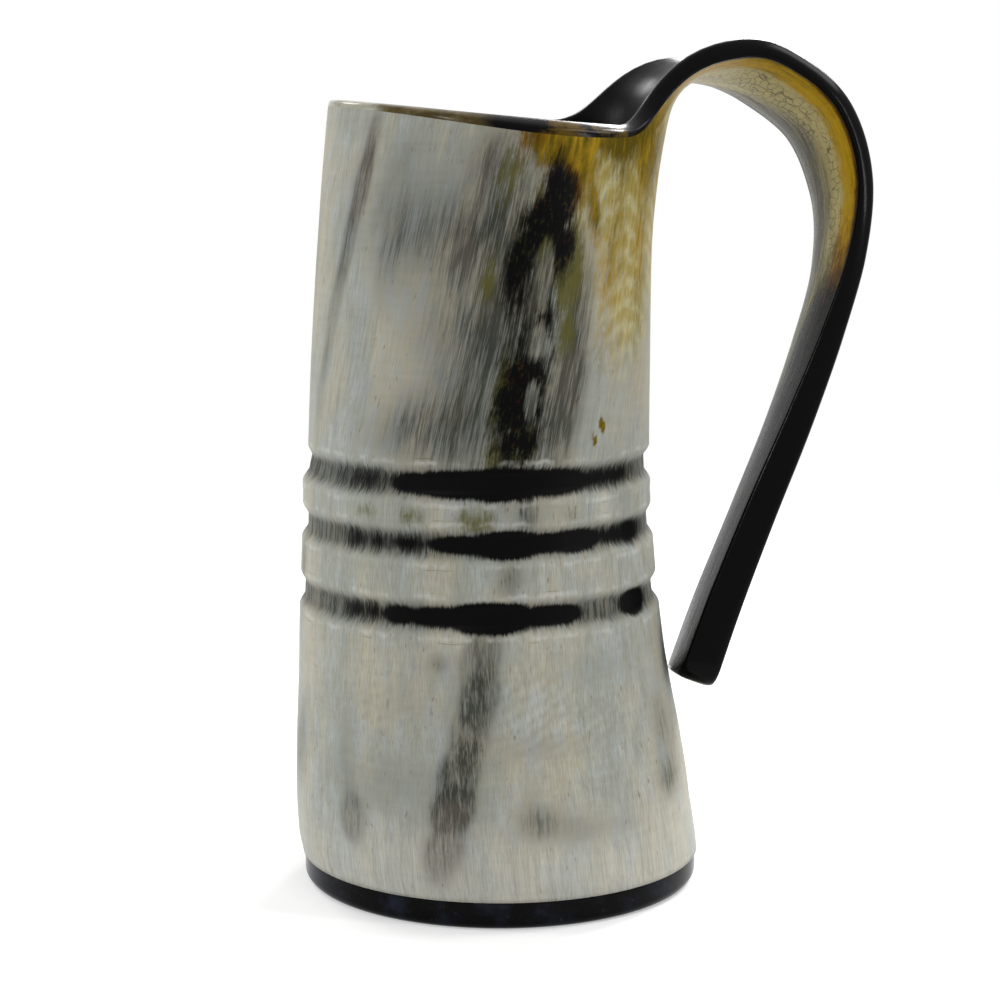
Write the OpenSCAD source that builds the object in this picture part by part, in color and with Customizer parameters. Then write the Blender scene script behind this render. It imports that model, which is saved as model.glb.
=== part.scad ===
// Horn drinking cup. The cup and its strap handle are one piece of horn: the strap is a strip
// of the horn's wall, left standing at the rim, bent over with heat and brought down outside.
// Its free end rests against the body. A turned disc closes the foot, glued in on a spigot.
// Millimetres, +Z up. The origin is the middle of the disc's underside. The handle lies along +X.

/* [Cup] */
// Height from the table to the highest point of the rim
cup_height = 155.6; // [148:0.2:162]
// Radius of the horn at its foot
foot_radius = 40; // [38:0.5:42]
// Thickness of the horn's wall
wall = 3.6; // [3.2:0.1:4]
// How far the rim falls from its highest point to the handle
rim_fall = 5; // [3:0.5:7]
// How far the rim is bevelled outwards, at most, on both sides of the handle
lip_bevel = 2; // [1:0.2:3]
// How far every cut edge of the horn is rounded over
edge_round = 1.2; // [0.8:0.1:1.8]

/* [Grooves] */
// Width of each turned groove
groove_width = 7; // [5:0.5:8]
// Depth of each turned groove
groove_depth = 1.2; // [0.6:0.1:1.6]

/* [Strap handle] */
// Width of the strap at its neck, just past the fillets at the rim
strap_width = 27.6; // [22:0.2:30]
// Width of the strap at its free end
strap_end_width = 22.6; // [18:0.2:26]
// Thickness of the strap at its free end, where the horn's wall is thickest
strap_end_thickness = 7.6; // [6:0.2:9]
// Room for the fingers, from the body's side to the strap's underside
finger_room = 34.2; // [30:0.2:38]
// How far the strap's underside rises above the rim
strap_rise = 9.6; // [7:0.2:14]
// Height of the strap's free end above the table
strap_end_height = 42.5; // [40:0.5:50]
// Radius of the fillets where the rim runs up into the strap
root_fillet = 16; // [12:1:18]
// Radius of the free end's corners
end_corner = 3; // [1:0.5:5]
// How far the wall leans out where the strap leaves the rim
root_flare = 3.4; // [1:0.2:4]
// Clearance between the strap's free end and the body
end_gap = 0.4; // [0.3:0.1:1]

/* [Base] */
// Thickness of the base disc below the horn's foot
base_thickness = 5.6; // [4:0.2:7]
// Rounding of the disc's lower edge
base_round = 2; // [1.5:0.5:4]
// How far the disc stands in from the foot's edge
base_inset = 0.4; // [0:0.1:1.5]
// Height of the spigot that stands in the foot
spigot_height = 5; // [3:0.5:6]
// Radial clearance of the spigot and of the seal in the horn, filled with glue
fit_gap = 0.3; // [0.2:0.05:0.5]
// Height and width of the bead of glue that seals the disc inside
seal_size = 2.4; // [1.5:0.1:3]

/* [Hidden] */
$fn = 96;

// Colours of the pieces
horn_colour = [0.70, 0.68, 0.60];
base_colour = [0.06, 0.06, 0.08];
seal_colour = [0.62, 0.50, 0.28];

horn_height = cup_height - edge_round - base_thickness;

// The horn's sweep: height on the horn, radius and sideways shift of the centre
wall_shares = [
    [0.00, 1.000, 0.000], [0.03, 1.008, -0.018], [0.07, 1.000, -0.035], [0.15, 0.975, -0.057],
    [0.25, 0.935, -0.083], [0.32, 0.912, -0.098], [0.40, 0.888, -0.108], [0.49, 0.869, -0.116],
    [0.51, 0.868, -0.116], [0.55, 0.852, -0.106], [0.68, 0.840, -0.095], [0.80, 0.830, -0.081],
    [0.90, 0.820, -0.059], [1.00, 0.802, -0.035]
];
outer_row_shares = [
    0, 0.015, 0.03, 0.07, 0.11, 0.15, 0.20, 0.25, 0.30, 0.41, 0.49, 0.58, 0.63, 0.68,
    0.74, 0.80, 0.85, 0.90, 0.94, 0.97, 1
];
inner_row_shares = [0, 0.03, 0.07, 0.15, 0.25, 0.35, 0.45, 0.55, 0.65, 0.75, 0.85, 0.92, 0.96, 1];

// Places of the grooves on the horn's height, and the part of a groove's width that is flat
groove_place_shares = [0.363, 0.455, 0.532];
groove_flat_share = 0.4;

// Above this height the rows close up towards the rim's slope
level_share = 0.6;
// Part of the horn's height over which the wall leans out to the strap
flare_height_share = 0.18;

// The strap's underside, as stations from the rim to the free end: how far down the straight
// line between those two places, how far out, how far up and how far aside
strap_path_shares = [
    [0.00, 0.00, 0.00, 0.000], [0.00, 0.09, 0.58, 0.010], [0.00, 0.22, 0.93, 0.030],
    [0.00, 0.39, 0.97, 0.060], [0.00, 0.61, 0.74, 0.065], [0.02, 0.87, 0.23, 0.060],
    [0.11, 0.99, 0.00, 0.070], [0.24, 0.965, 0.00, 0.085], [0.38, 0.83, 0.00, 0.085],
    [0.54, 0.63, 0.00, 0.070], [0.70, 0.40, 0.00, 0.040], [0.86, 0.175, 0.00, 0.015],
    [1.00, 0.00, 0.00, 0.000]
];
// At each station: how far the strap leans to the far side, which way it is turned, how much
// of the rim's roundness it keeps across, and how much of its extra thickness it has
strap_lean_angles = [0, 0, 4, 11, 16, 18, 20, 18, 15, 12, 10, 8, 7];
strap_turn_angles = [7, 7, 7, 6, 5, 5, 5, 3, 0, -4, -6, -6, -6];
strap_bow_shares = [1, 1, 0.95, 0.9, 0.85, 0.85, 0.85, 0.8, 0.7, 0.6, 0.5, 0.4, 0.33];
strap_thickness_shares = [0, 0.08, 0.15, 0.18, 0.15, 0.1, 0.08, 0.2, 0.42, 0.65, 0.8, 0.92, 1];
// Direction from the cup's centre to the free end
strap_end_angle = -8;

// Counts of the grid: columns in the strap's root, columns round the cup, rows in a fillet,
// rows along the strap, rows in an end corner and steps across a rounded edge
root_columns = 14;
cup_columns = 48;
fillet_rows = 6;
strap_rows = 24;
corner_rows = 4;
edge_steps = 5;
// Squareness of the rounded edges: 1 is an ellipse and less is squarer
edge_power_share = 0.6;
// Step for slopes, as a part of the horn's height
slope_share = 0.01;

function unit(v) = v / norm(v);
function mix(a, b, t) = a + (b - a) * t;
function clamp(t) = min(1, max(0, t));
function smooth(t) = let(c = clamp(t)) c * c * (3 - 2 * c);
function signed_power(a, p) = sign(a) * pow(abs(a), p);
function column(table, index) = [for (row = table) row[index]];
function sum_to(values, count) = count <= 0 ? 0 : values[count - 1] + sum_to(values, count - 1);

// Smooth value of a list of stations at a fractional index, with the points before and after
// the ends carried on in a straight line
function station(list, index) =
    let(
        last = len(list) - 1,
        i = min(last - 1, max(0, floor(index))),
        t = index - i,
        p1 = list[i],
        p2 = list[i + 1],
        p0 = i > 0 ? list[i - 1] : 2 * p1 - p2,
        p3 = i + 2 <= last ? list[i + 2] : 2 * p2 - p1
    )
    (2 * p1 + (p2 - p0) * t + (2 * p0 - 5 * p1 + 4 * p2 - p3) * t * t
        + (3 * p1 - p0 - 3 * p2 + p3) * t * t * t) / 2;

// Horn wall: radius and centre shift at a height share
wall_indices = [for (i = [0 : len(wall_shares) - 1]) [wall_shares[i][0], i]];
function wall_radius(share) = foot_radius * station(column(wall_shares, 1), lookup(share, wall_indices));
function wall_shift(share) = foot_radius * station(column(wall_shares, 2), lookup(share, wall_indices));

// The strap's root on the rim: its place round the cup and its half angle
root_angle = strap_turn_angles[0];
rim_radius = wall_radius(1);
root_half_width = strap_width / 2 + root_fillet;
root_half_angle = root_half_width / rim_radius * 180 / PI;

// Place of a column across the root, from -1 to 1
function root_place(angle) =
    let(turn = (angle - root_angle + 540) % 360 - 180)
    min(1, max(-1, turn / root_half_angle));

function column_angle(j) =
    j <= root_columns
        ? root_angle + root_half_angle * (2 * j / root_columns - 1)
        : root_angle + root_half_angle
            + (360 - 2 * root_half_angle) * (j - root_columns) / (cup_columns - root_columns);

function slope_at(angle) = (1 + cos(angle)) / 2;
// The bevel is full at two places beside the handle, where sin^2 * slope is at its most, 16/27,
// and runs out under the handle and on the side away from it
function bevel_at(angle) = lip_bevel * pow(sin(angle), 2) * slope_at(angle) * 27 / 16;
function rim_share(angle, bevel) = 1 - (rim_fall * slope_at(angle) + bevel) / horn_height;
function row_share(share, top) =
    share <= level_share ? share : mix(level_share, top, (share - level_share) / (1 - level_share));

function flare_at(angle, share) =
    let(
        side = pow(cos(90 * root_place(angle)), 2),
        rise = clamp((share - 1 + flare_height_share) / flare_height_share)
    )
    root_flare * side * rise * rise;

// A point on the wall at an angle and a height share, set in from the outside by some depth
function wall_point(angle, share, depth) =
    let(radius = wall_radius(share) + flare_at(angle, share) - depth)
    [
        wall_shift(share) + radius * cos(angle),
        radius * sin(angle),
        base_thickness + horn_height * share
    ];
// How far the wall moves for each millimetre up, at the rim
function wall_slope(angle, share, depth) =
    (wall_point(angle, share, depth) - wall_point(angle, share - slope_share, depth))
        / (slope_share * horn_height);

function groove_cut(share) =
    max([for (place = groove_place_shares)
        let(
            away = abs(share - place) * horn_height,
            edge = groove_width / 2,
            flat = edge * groove_flat_share
        )
        groove_depth * clamp((edge - away) / (edge - flat))]);
groove_edge_share = groove_width / 2 / horn_height;
groove_row_shares = [for (place = groove_place_shares)
    for (offset = [-1, -groove_flat_share, groove_flat_share, 1]) place + offset * groove_edge_share];

// Rows of the outside from the foot to the rim, with four rows in each groove
function sorted(list) =
    len(list) <= 1 ? list :
    let(pivot = list[floor(len(list) / 2)])
    concat(
        sorted([for (v = list) if (v < pivot) v]),
        [pivot],
        sorted([for (v = list) if (v > pivot) v])
    );
function beside_groove(share) =
    min([for (place = groove_place_shares) abs(share - place)]) < groove_edge_share;
outer_rows = sorted(concat(
    [for (share = outer_row_shares) if (!beside_groove(share)) share],
    groove_row_shares
));

outer_grid = [for (row = outer_rows) [for (j = [0 : cup_columns - 1])
    let(angle = column_angle(j))
    wall_point(angle, row_share(row, rim_share(angle, bevel_at(angle))), groove_cut(row))]];
inner_grid = [for (row = inner_row_shares) [for (j = [0 : cup_columns - 1])
    let(angle = column_angle(j))
    wall_point(angle, row_share(row, rim_share(angle, 0)), wall)]];

// The strap's path runs from the rim to a place just off the body
root_top = rim_share(root_angle, 0);
root_point = wall_point(root_angle, root_top, 0);
root_slope = wall_slope(root_angle, root_top, 0);
strap_end_share = (strap_end_height - base_thickness) / horn_height;
strap_end_point = wall_point(strap_end_angle, strap_end_share, -end_gap);
strap_path = [for (row = strap_path_shares)
    mix(root_point, strap_end_point, row[0])
        + [row[1] * finger_room, row[3] * finger_room, row[2] * strap_rise]];
strap_gaps = [for (i = [1 : len(strap_path) - 1]) norm(strap_path[i] - strap_path[i - 1])];
strap_lengths = [for (i = [0 : len(strap_path) - 1]) [sum_to(strap_gaps, i), i]];
strap_length = sum_to(strap_gaps, len(strap_gaps));

// The path begins in line with the wall: the station before the first lies below the rim
guided_path = concat([root_point - root_slope * strap_gaps[0]], strap_path);
function path_point(along) = station(guided_path, lookup(along, strap_lengths) + 1);

// Frame at a length along the strap: place, direction, sideways and the horn's outer side
function strap_frame(along) =
    let(
        index = lookup(along, strap_lengths),
        step = strap_length * slope_share,
        forward = unit(path_point(along + step) - path_point(along - step)),
        turn = station(strap_turn_angles, index),
        lean = station(strap_lean_angles, index),
        aim = [-sin(turn) * cos(lean), cos(turn) * cos(lean), -sin(lean)],
        across = unit(aim - forward * (aim * forward))
    )
    [path_point(along), forward, across, cross(across, forward)];

// Rows of the strap: length along it, half width, and the angle through which its outline
// has turned from the rim's direction to the strap's, and then to the free end's
function half_width_at(along) = mix(strap_width, strap_end_width, clamp(along / strap_length)) / 2;
straight_length = strap_length - root_fillet - end_corner;
strap_outline = concat(
    [for (i = [1 : fillet_rows])
        let(turn = 90 * i / fillet_rows, along = root_fillet * (1 - cos(turn)))
        [along, half_width_at(along) + root_fillet * (1 - sin(turn)), turn]],
    [for (i = [1 : strap_rows])
        let(along = root_fillet + straight_length * i / strap_rows)
        [along, half_width_at(along), 90]],
    [for (i = [1 : corner_rows])
        let(turn = 90 * i / corner_rows, along = strap_length - end_corner * (1 - sin(turn)))
        [along, half_width_at(along) - end_corner * (1 - cos(turn)), 90 + turn]]
);
strap_row_count = len(strap_outline);

// Strap section: an arc across the strap that begins as the rim's own curve
function strap_section(row, depth_share) = [for (k = [0 : root_columns])
    let(
        along = row[0],
        place = 2 * k / root_columns - 1,
        index = lookup(along, strap_lengths),
        frame = strap_frame(along),
        thickness = mix(wall, strap_end_thickness, station(strap_thickness_shares, index)),
        depth = depth_share * thickness,
        bow_radius = rim_radius / station(strap_bow_shares, index),
        bow = place * row[1] / bow_radius * 180 / PI,
        swept = frame[0] + frame[3] * ((bow_radius - depth) * cos(bow) - bow_radius)
            + frame[2] * (bow_radius - depth) * sin(bow),
        angle = root_angle + place * row[1] / rim_radius * 180 / PI,
        freed = smooth(along / root_fillet),
        bevel = (1 - depth_share) * bevel_at(angle),
        top = rim_share(angle, bevel),
        raised = wall_point(angle, top, depth) + wall_slope(angle, top, depth) * along
    )
    mix(raised, swept, freed)];
strap_outer = [for (row = strap_outline) strap_section(row, 0)];
strap_inner = [for (row = strap_outline) strap_section(row, 1)];

// Points are listed in blocks: outside of the cup, inside, strap's underside, strap's top, edge
outer_count = len(outer_grid) * cup_columns;
inner_count = len(inner_grid) * cup_columns;
strap_columns = root_columns + 1;
strap_count = strap_row_count * strap_columns;
function outer_id(i, j) = i * cup_columns + j % cup_columns;
function inner_id(i, j) = outer_count + i * cup_columns + j % cup_columns;
outer_rim = len(outer_grid) - 1;
inner_rim = len(inner_grid) - 1;
// Row 0 of the strap is the rim's own row of points
function under_id(r, k) =
    r == 0 ? outer_id(outer_rim, k) : outer_count + inner_count + (r - 1) * strap_columns + k;
function top_id(r, k) =
    r == 0 ? inner_id(inner_rim, k)
        : outer_count + inner_count + strap_count + (r - 1) * strap_columns + k;

// The horn's cut edge is one closed line: round the rim, up the near side of the strap,
// across its free end and back down the far side. Each entry is a strap row and column, or
// row 0 and a cup column.
last_row = strap_row_count;
edge_line = concat(
    [for (j = [root_columns : cup_columns]) [0, j % cup_columns]],
    [for (r = [1 : last_row]) [r, 0]],
    [for (k = [1 : root_columns - 1]) [last_row, k]],
    [for (r = [last_row : -1 : 1]) [r, root_columns]]
);
edge_count = len(edge_line);

function edge_outer(e) = e[0] == 0 ? outer_grid[outer_rim][e[1]] : strap_outer[e[0] - 1][e[1]];
function edge_inner(e) = e[0] == 0 ? inner_grid[inner_rim][e[1]] : strap_inner[e[0] - 1][e[1]];
// Direction in which the cut edge faces
function edge_way(e) =
    e[0] == 0 ? unit(wall_slope(column_angle(e[1]), rim_share(column_angle(e[1]), 0), wall)) :
    let(
        row = strap_outline[e[0] - 1],
        frame = strap_frame(row[0]),
        side = e[1] == 0 ? -1 : e[1] == root_columns ? 1 : 0
    )
    side == 0 ? frame[1]
        : row[2] <= 90 ? unit(frame[1] * cos(row[2]) + frame[2] * side * sin(row[2]))
        : unit(frame[1] * sin(row[2] - 90) + frame[2] * side * cos(row[2] - 90));
function edge_section(e) =
    let(
        outer = edge_outer(e),
        inner = edge_inner(e),
        middle = (outer + inner) / 2,
        half = (outer - inner) / 2,
        way = edge_way(e)
    )
    [for (m = [1 : edge_steps - 1])
        let(turn = 180 * m / edge_steps)
        middle + half * signed_power(cos(turn), edge_power_share)
            + way * edge_round * signed_power(sin(turn), edge_power_share)];
edge_start = outer_count + inner_count + 2 * strap_count;
function edge_id(p, m) =
    let(q = p % edge_count, e = edge_line[q])
    m == 0 ? under_id(e[0], e[1])
        : m == edge_steps ? top_id(e[0], e[1])
        : edge_start + q * (edge_steps - 1) + m - 1;

// Two triangles for four corners listed against the clock, seen from outside
function patch(a, b, c, d) = [[a, c, b], [a, d, c]];
function flat_list(lists) = [for (list = lists) for (item = list) item];

horn_points = concat(
    flat_list(outer_grid), flat_list(inner_grid), flat_list(strap_outer), flat_list(strap_inner),
    flat_list([for (e = edge_line) edge_section(e)])
);
horn_faces = flat_list(concat(
    [for (i = [0 : outer_rim - 1], j = [0 : cup_columns - 1])
        patch(outer_id(i, j), outer_id(i, j + 1), outer_id(i + 1, j + 1), outer_id(i + 1, j))],
    [for (i = [0 : inner_rim - 1], j = [0 : cup_columns - 1])
        patch(inner_id(i, j + 1), inner_id(i, j), inner_id(i + 1, j), inner_id(i + 1, j + 1))],
    [for (j = [0 : cup_columns - 1])
        patch(outer_id(0, j + 1), outer_id(0, j), inner_id(0, j), inner_id(0, j + 1))],
    [for (r = [0 : last_row - 1], k = [0 : root_columns - 1])
        patch(under_id(r, k), under_id(r, k + 1), under_id(r + 1, k + 1), under_id(r + 1, k))],
    [for (r = [0 : last_row - 1], k = [0 : root_columns - 1])
        patch(top_id(r, k + 1), top_id(r, k), top_id(r + 1, k), top_id(r + 1, k + 1))],
    [for (p = [0 : edge_count - 1], m = [0 : edge_steps - 1])
        patch(edge_id(p, m), edge_id(p + 1, m), edge_id(p + 1, m + 1), edge_id(p, m + 1))]
));

// The foot's inside, which the spigot and the seal fit
base_radius = foot_radius - base_inset;
spigot_share = spigot_height / horn_height;
spigot_room = wall_radius(spigot_share) + wall_shift(spigot_share) - wall;
spigot_radius = min(foot_radius - wall, spigot_room) - fit_gap;
seal_share = (spigot_height + seal_size) / horn_height;
seal_radius = wall_radius(seal_share) - wall - fit_gap;
// Radius of the bead's hollow, as a part of its size
bead_hollow_share = 0.85;

// Cup and strap handle, one piece of horn
module horn_body() {
    color(horn_colour)
        polyhedron(points = horn_points, faces = horn_faces, convexity = 6);
}

// Turned disc that closes the foot, with the spigot that centres it
module base_disc() {
    color(base_colour)
        rotate_extrude() {
            difference() {
                square([base_radius, base_thickness]);
                translate([base_radius - base_round, 0])
                    square([base_round, base_round]);
            }
            intersection() {
                translate([base_radius - base_round, base_round])
                    circle(r = base_round);
                square([base_radius, base_thickness]);
            }
            square([spigot_radius, base_thickness + spigot_height]);
        }
}

// Bead of glue round the inside, between the spigot's top and the horn's wall
module seal_bead() {
    color(seal_colour)
        translate([wall_shift(seal_share), 0, base_thickness + spigot_height])
            rotate_extrude()
                difference() {
                    translate([seal_radius - seal_size, 0])
                        square([seal_size, seal_size]);
                    translate([seal_radius - seal_size, seal_size])
                        circle(r = seal_size * bead_hollow_share);
                }
}

horn_body();
base_disc();
seal_bead();
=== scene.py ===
from math import cos, radians, sin

import bpy
import numpy as np
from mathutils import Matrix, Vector


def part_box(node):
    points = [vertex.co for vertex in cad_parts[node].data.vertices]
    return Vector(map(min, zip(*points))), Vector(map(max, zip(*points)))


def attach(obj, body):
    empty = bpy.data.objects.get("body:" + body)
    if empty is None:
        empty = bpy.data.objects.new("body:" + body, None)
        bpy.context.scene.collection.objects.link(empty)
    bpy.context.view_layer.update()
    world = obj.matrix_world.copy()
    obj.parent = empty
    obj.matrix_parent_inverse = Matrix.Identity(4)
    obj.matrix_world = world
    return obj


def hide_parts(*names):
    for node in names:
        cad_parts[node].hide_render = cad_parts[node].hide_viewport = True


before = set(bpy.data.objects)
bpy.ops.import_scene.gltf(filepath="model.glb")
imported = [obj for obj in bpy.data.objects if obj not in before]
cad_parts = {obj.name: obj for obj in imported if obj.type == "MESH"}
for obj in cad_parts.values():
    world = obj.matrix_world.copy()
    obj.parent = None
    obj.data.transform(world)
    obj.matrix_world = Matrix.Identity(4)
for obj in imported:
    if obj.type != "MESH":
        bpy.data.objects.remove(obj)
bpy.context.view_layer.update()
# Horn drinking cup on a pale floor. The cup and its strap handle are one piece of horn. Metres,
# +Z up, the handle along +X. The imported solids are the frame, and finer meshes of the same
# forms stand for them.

MM = 0.001

# Sizes of the cup, as in the part's source
CUP_HEIGHT = 0.1556
FOOT_RADIUS = 0.04
WALL = 0.0036
RIM_FALL = 0.005
LIP_BEVEL = 0.002
EDGE_ROUND = 0.0012
GROOVE_WIDTH = 0.007
GROOVE_DEPTH = 0.0012
STRAP_WIDTH = 0.0276
STRAP_END_WIDTH = 0.0226
STRAP_END_THICKNESS = 0.0076
FINGER_ROOM = 0.0342
STRAP_RISE = 0.0096
STRAP_END_HEIGHT = 0.0425
ROOT_FILLET = 0.016
END_CORNER = 0.003
ROOT_FLARE = 0.0034
END_GAP = 0.0004
BASE_THICKNESS = 0.0056
BASE_ROUND = 0.002
BASE_INSET = 0.0004
SPIGOT_HEIGHT = 0.005
FIT_GAP = 0.0003
SEAL_SIZE = 0.0024
BEAD_HOLLOW_SHARE = 0.85

HORN_HEIGHT = CUP_HEIGHT - EDGE_ROUND - BASE_THICKNESS

# The horn's sweep: height on the horn, radius and sideways shift of the centre, as shares
WALL_SHARES = np.array([
    [0, 1, 0], [0.03, 1.008, -0.018], [0.07, 1, -0.035], [0.15, 0.975, -0.057],
    [0.25, 0.935, -0.083], [0.32, 0.912, -0.098], [0.4, 0.888, -0.108], [0.49, 0.869, -0.116],
    [0.51, 0.868, -0.116], [0.55, 0.852, -0.106], [0.68, 0.84, -0.095], [0.8, 0.83, -0.081],
    [0.9, 0.82, -0.059], [1, 0.802, -0.035],
])
GROOVE_PLACE_SHARES = (0.363, 0.455, 0.532)
GROOVE_FLAT_SHARE = 0.4
# Rows are level up to this share of the height, and follow the slanting rim above it
LEVEL_SHARE = 0.6
FLARE_HEIGHT_SHARE = 0.18
# How much of a groove's edge is rounded, and how much its depth varies
GROOVE_ROUND_SHARE = 0.6
GROOVE_UNEVEN_SHARE = 0.08
# Stations of the strap's underside: down, out, up and aside
STRAP_PATH_SHARES = np.array([
    [0, 0, 0, 0], [0, 0.09, 0.58, 0.01], [0, 0.22, 0.93, 0.03], [0, 0.39, 0.97, 0.06],
    [0, 0.61, 0.74, 0.065], [0.02, 0.87, 0.23, 0.06], [0.11, 0.99, 0, 0.07],
    [0.24, 0.965, 0, 0.085], [0.38, 0.83, 0, 0.085], [0.54, 0.63, 0, 0.07], [0.7, 0.4, 0, 0.04],
    [0.86, 0.175, 0, 0.015], [1, 0, 0, 0],
])
# At each station: lean and turn of the strap (degrees), bow across it, and thickness
STRAP_LEAN = [0, 0, 4, 11, 16, 18, 20, 18, 15, 12, 10, 8, 7]
STRAP_TURN = [7, 7, 7, 6, 5, 5, 5, 3, 0, -4, -6, -6, -6]
STRAP_BOW = [1, 1, 0.95, 0.9, 0.85, 0.85, 0.85, 0.8, 0.7, 0.6, 0.5, 0.4, 0.33]
STRAP_THICKNESS = [0, 0.08, 0.15, 0.18, 0.15, 0.1, 0.08, 0.2, 0.42, 0.65, 0.8, 0.92, 1]
STRAP_END_ANGLE = -8

# Flats that scraping leaves: their depth, how much of the height they fade in and out over,
# and waves as turns round the cup, turn up the wall and start (radians)
SCRAPE_DEPTH = 0.05 * MM
SCRAPE_FADE_SHARES = (0.05, 0.08)
SCRAPE_WAVES = ((3, 5, 0), (7, -11, 1), (4, 23, 2), (11, 17, 4))

# Grid of the fine mesh
ROOT_COLUMNS = 52
CUP_COLUMNS = 260
OUTER_STEP = 0.0009
INNER_ROWS = 56
FILLET_ROWS = 20
STRAP_ROWS = 150
CORNER_ROWS = 8
EDGE_STEPS = 10
# Below 1 the rounded edge is squarer than a half circle
EDGE_POWER = 0.6
SLOPE_SHARE = 0.01

# The turned pieces: steps of their roundings and round the axis
ROUND_STEPS = 12
EASING_STEPS = 5
HOLLOW_STEPS = 10
DISC_SEGMENTS = 288
SEAL_SEGMENTS = 192
# The disc: its small roundings, the caps in its middle and rings on its flats
DISC_EASING = 0.25 * MM
DISC_CORE = 0.4 * MM
UNDER_RING_SHARE = 0.5
ROUND_MARGIN = 1.2
TOP_RING_SHARE = 0.6
# How much the bead's height varies, and its swells round the cup
BEAD_SWELL_SHARE = 0.1
BEAD_SWELLS = (5, 9)


def unit(v):
    return v / np.linalg.norm(v, axis=-1, keepdims=True)


def mix(a, b, t):
    return a + (b - a) * t


def smooth(t):
    c = np.clip(t, 0, 1)
    return c * c * (3 - 2 * c)


def signed_power(a, p):
    return np.sign(a) * np.abs(a) ** p


def station(values, index):
    """Smooth value of a list of stations at fractional places."""
    values = np.asarray(values, float)
    index = np.asarray(index, float)
    last = len(values) - 1
    i = np.clip(np.floor(index).astype(int), 0, last - 1)
    t = index - i
    if values.ndim > 1:
        t = t[..., None]
    run = np.concatenate([[2 * values[0] - values[1]], values, [2 * values[-1] - values[-2]]])
    p0, p1, p2, p3 = (run[i + k] for k in range(4))
    return (2 * p1 + (p2 - p0) * t + (2 * p0 - 5 * p1 + 4 * p2 - p3) * t ** 2
            + (3 * p1 - p0 - 3 * p2 + p3) * t ** 3) / 2


def wall_index(share):
    return np.interp(share, WALL_SHARES[:, 0], np.arange(len(WALL_SHARES)))


def wall_radius(share):
    return FOOT_RADIUS * station(WALL_SHARES[:, 1], wall_index(share))


def wall_shift(share):
    return FOOT_RADIUS * station(WALL_SHARES[:, 2], wall_index(share))


ROOT_ANGLE = STRAP_TURN[0]
RIM_RADIUS = float(wall_radius(1))
ROOT_HALF_ANGLE = float(np.degrees((STRAP_WIDTH / 2 + ROOT_FILLET) / RIM_RADIUS))
# Columns across the root and the strap, from -1 at the near edge to 1 at the far edge
ROOT_PLACES = 2 * np.arange(ROOT_COLUMNS + 1) / ROOT_COLUMNS - 1


def column_angles():
    root = ROOT_ANGLE + ROOT_HALF_ANGLE * ROOT_PLACES
    rest = np.arange(1, CUP_COLUMNS - ROOT_COLUMNS) / (CUP_COLUMNS - ROOT_COLUMNS)
    return np.concatenate([root, root[-1] + (360 - 2 * ROOT_HALF_ANGLE) * rest])


def slope_at(angle):
    return (1 + np.cos(np.radians(angle))) / 2


def bevel_at(angle):
    """Bevel of the rim, none at the handle or across from it. The 27/16 makes its peak 1."""
    return LIP_BEVEL * np.sin(np.radians(angle)) ** 2 * slope_at(angle) * 27 / 16


def rim_share(angle, bevel):
    return 1 - (RIM_FALL * slope_at(angle) + bevel) / HORN_HEIGHT


def row_share(share, top):
    raised = mix(LEVEL_SHARE, top, (share - LEVEL_SHARE) / (1 - LEVEL_SHARE))
    return np.where(share <= LEVEL_SHARE, share, raised)


def flare_at(angle, share):
    turn = (angle - ROOT_ANGLE + 540) % 360 - 180
    side = np.cos(np.radians(90 * np.clip(turn / ROOT_HALF_ANGLE, -1, 1))) ** 2
    rise = np.clip((share - 1 + FLARE_HEIGHT_SHARE) / FLARE_HEIGHT_SHARE, 0, 1)
    return ROOT_FLARE * side * rise ** 2


def wall_point(angle, share, depth):
    angle, share, depth = np.broadcast_arrays(angle, share, depth)
    radius = wall_radius(share) + flare_at(angle, share) - depth
    turn = np.radians(angle)
    return np.stack([
        wall_shift(share) + radius * np.cos(turn),
        radius * np.sin(turn),
        BASE_THICKNESS + HORN_HEIGHT * share,
    ], axis=-1)


def wall_slope(angle, share, depth):
    """How far the wall moves for each metre up."""
    step = wall_point(angle, share, depth) - wall_point(angle, share - SLOPE_SHARE, depth)
    return step / (SLOPE_SHARE * HORN_HEIGHT)


def groove_place(share):
    """1 in the middle of a groove, 0 at its edge and less outside."""
    away = np.min([np.abs(share - place) for place in GROOVE_PLACE_SHARES], axis=0)
    return 1 - away * HORN_HEIGHT / (GROOVE_WIDTH / 2)


def groove_cut(angle, share):
    """Depth of the grooves, with rounded edges and a hand-cut floor."""
    fall = np.clip(groove_place(share) / (1 - GROOVE_FLAT_SHARE), 0, 1)
    swing = GROOVE_UNEVEN_SHARE * np.sin(np.radians(5 * angle) + 40 * share)
    depth = GROOVE_DEPTH * (1 - GROOVE_UNEVEN_SHARE + swing)
    return depth * mix(fall, smooth(fall), GROOVE_ROUND_SHARE)


def scraping(angle, share):
    """Shallow flats that scraping and sanding leave, always into the wall."""
    turn = np.radians(angle)
    waves = sum(np.sin(round_cup * turn + rise * share + start)
                for round_cup, rise, start in SCRAPE_WAVES)
    low, high = SCRAPE_FADE_SHARES
    fade = smooth(share / low) * smooth((1 - share) / high)
    return SCRAPE_DEPTH * (len(SCRAPE_WAVES) + waves) * fade


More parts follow.
